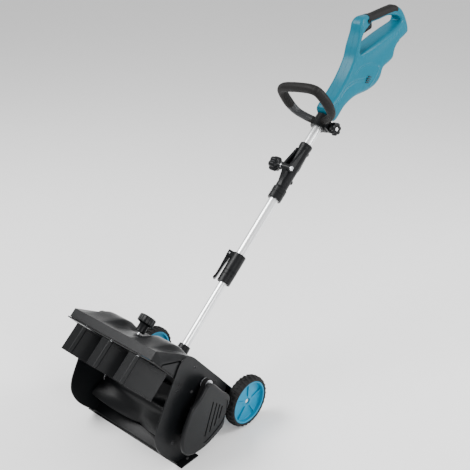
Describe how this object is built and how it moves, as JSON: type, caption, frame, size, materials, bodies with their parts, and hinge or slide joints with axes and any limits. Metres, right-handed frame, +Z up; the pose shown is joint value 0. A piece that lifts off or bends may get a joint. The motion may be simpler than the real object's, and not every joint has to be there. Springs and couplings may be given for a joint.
{
  "type": "snow blower",
  "caption": "Cordless push snow blower: scoop with rotor and turning vanes on wheels, folding telescopic pole, adjustable loop handle and rear trigger handle.",
  "frame": {"origin": "middle of the scraper plate's underside, on the floor", "axes": "front of the scoop faces -Y, +Z up, +X towards the side with the drive belt"},
  "size_m": [0.362, 1.2036, 0.8764],
  "materials": {
    "black_plastic": "fine moulded grain, satin",
    "blue_plastic": "teal blue, fine moulded grain",
    "wheel_blue": "bright blue, semi-gloss",
    "tyre_rubber": "matt black",
    "grip_rubber": "soft matt, fine grip texture",
    "aluminium": "satin drawn tube",
    "steel": "zinc plated"
  },
  "bodies": {
    "head": {"scoop": "black_plastic", "scraper_plate": "black_plastic", "end_plate_left": "black_plastic", "end_plate_right": "black_plastic", "side_case_left": "black_plastic", "side_case_right": "black_plastic", "side_pod_left": "black_plastic", "side_pod_right": "black_plastic", "bearing_left": "steel", "bearing_right": "steel", "hood": "black_plastic", "back_cover": "black_plastic", "motor": "steel", "drive_belt": "tyre_rubber", "axle": "steel", "axle_clip_left": "steel", "axle_clip_right": "steel", "axle_bracket_left": "black_plastic", "axle_bracket_right": "black_plastic", "pole_socket": "black_plastic", "lower_tube": "aluminium"},
    "rotor_set": {"rotor": "black_plastic", "rotor_shaft": "steel", "rotor_pulley": "black_plastic"},
    "motor_rotor": {"motor_pulley": "steel"},
    "vane_1": {"vane_1": "black_plastic"},
    "vane_2": {"vane_2": "black_plastic"},
    "vane_3": {"vane_3": "black_plastic"},
    "tie": {"tie_plate": "steel"},
    "knob": {"knob_crank": "steel", "vane_knob": "black_plastic", "shaft_clip": "steel"},
    "wheel_left": {"tyre_left": "tyre_rubber", "wheel_left": "wheel_blue"},
    "wheel_right": {"tyre_right": "tyre_rubber", "wheel_right": "wheel_blue"},
    "mast": {"middle_tube": "aluminium", "clamp_bush": "black_plastic", "clamp_collar": "black_plastic", "clamp_pin": "steel", "hinge_lower": "black_plastic"},
    "clamp_lever": {"clamp_lever": "black_plastic"},
    "upper": {"hinge_upper": "black_plastic", "hinge_bolt": "steel", "hinge_washer": "aluminium", "upper_tube": "aluminium", "rear_case_left": "blue_plastic", "rear_case_right": "blue_plastic", "grip_pad": "grip_rubber", "trigger_pin": "steel", "switch_module": "black_plastic", "control_board": "black_plastic", "battery_terminal": "black_plastic"},
    "hinge_knob": {"hinge_knob": "black_plastic"},
    "loop": {"loop_handle": "grip_rubber", "loop_clamp": "black_plastic", "loop_bolt": "steel"},
    "loop_knob": {"loop_knob": "black_plastic"},
    "trigger": {"trigger": "black_plastic"},
    "lock_button": {"lock_button": "black_plastic"}
  },
  "joints": [
    {"name": "rotor_spin", "type": "hinge", "parent": "head", "child": "rotor_set", "pos_m": [0, 0.024, 0.08], "axis": [1, 0, 0], "continuous": true},
    {"name": "motor_spin", "type": "hinge", "parent": "head", "child": "motor_rotor", "pos_m": [0, 0.06691, 0.1797], "axis": [1, 0, 0], "continuous": true},
    {"name": "knob_turn", "type": "hinge", "parent": "head", "child": "knob", "pos_m": [0, -0.02426, 0.24568], "axis": [0, 0.7694, 0.6388], "range_deg": [0, 90]},
    {"name": "vane_1_turn", "type": "hinge", "parent": "head", "child": "vane_1", "pos_m": [-0.087, -0.06699, 0.29715], "axis": [0, 0.7694, 0.6388], "range_deg": [0, 90]},
    {"name": "vane_2_turn", "type": "hinge", "parent": "head", "child": "vane_2", "pos_m": [0, -0.06699, 0.29715], "axis": [0, 0.7694, 0.6388], "range_deg": [0, 90]},
    {"name": "vane_3_turn", "type": "hinge", "parent": "head", "child": "vane_3", "pos_m": [0.087, -0.06699, 0.29715], "axis": [0, 0.7694, 0.6388], "range_deg": [0, 90]},
    {"name": "tie_turn", "type": "hinge", "parent": "vane_2", "child": "tie", "pos_m": [0.00636, -0.07106, 0.30205], "axis": [0, 0.7694, 0.6388], "range_deg": [-90, 0]},
    {"name": "wheel_left_spin", "type": "hinge", "parent": "head", "child": "wheel_left", "pos_m": [0, 0.1945, 0.0655], "axis": [1, 0, 0], "continuous": true},
    {"name": "wheel_right_spin", "type": "hinge", "parent": "head", "child": "wheel_right", "pos_m": [0, 0.1945, 0.0655], "axis": [1, 0, 0], "continuous": true},
    {"name": "telescope", "type": "slide", "parent": "head", "child": "mast", "axis": [0, 0.7694, 0.6388], "range_m": [-0.15, 0.02]},
    {"name": "clamp_lever_turn", "type": "hinge", "parent": "mast", "child": "clamp_lever", "pos_m": [-0.02163, 0.34864, 0.34174], "axis": [-0.4695, 0.564, -0.6793], "range_deg": [0, 100]},
    {"name": "fold", "type": "hinge", "parent": "mast", "child": "upper", "pos_m": [0, 0.54712, 0.52536], "axis": [1, 0, 0], "range_deg": [0, 140]},
    {"name": "hinge_knob_turn", "type": "hinge", "parent": "upper", "child": "hinge_knob", "pos_m": [0, 0.54712, 0.52536], "axis": [1, 0, 0], "range_deg": [0, 720]},
    {"name": "loop_slide", "type": "slide", "parent": "upper", "child": "loop", "axis": [0, 0.7694, 0.6388], "range_m": [-0.05, 0]},
    {"name": "loop_knob_turn", "type": "hinge", "parent": "loop", "child": "loop_knob", "pos_m": [0.00447, 0.70296, 0.59362], "axis": [0.9781, -0.1328, 0.16], "range_deg": [0, 720]},
    {"name": "trigger_pull", "type": "hinge", "parent": "upper", "child": "trigger", "pos_m": [0, 0.89553, 0.84775], "axis": [-1, 0, 0], "range_deg": [0, 8], "stiffness_Nm_per_rad": 0.3, "springref_deg": -2.86},
    {"name": "lock_press", "type": "slide", "parent": "upper", "child": "lock_button", "axis": [-1, 0, 0], "range_m": [0, 0.0025], "stiffness_N_per_m": 300, "springref_m": -0.001}
  ],
  "couplings": [
    {"joint": "motor_spin", "follows": "rotor_spin", "ratio": 2.5},
    {"joint": "vane_1_turn", "follows": "knob_turn", "ratio": 1},
    {"joint": "vane_2_turn", "follows": "knob_turn", "ratio": 1},
    {"joint": "vane_3_turn", "follows": "knob_turn", "ratio": 1},
    {"joint": "tie_turn", "follows": "knob_turn", "ratio": -1}
  ]
}
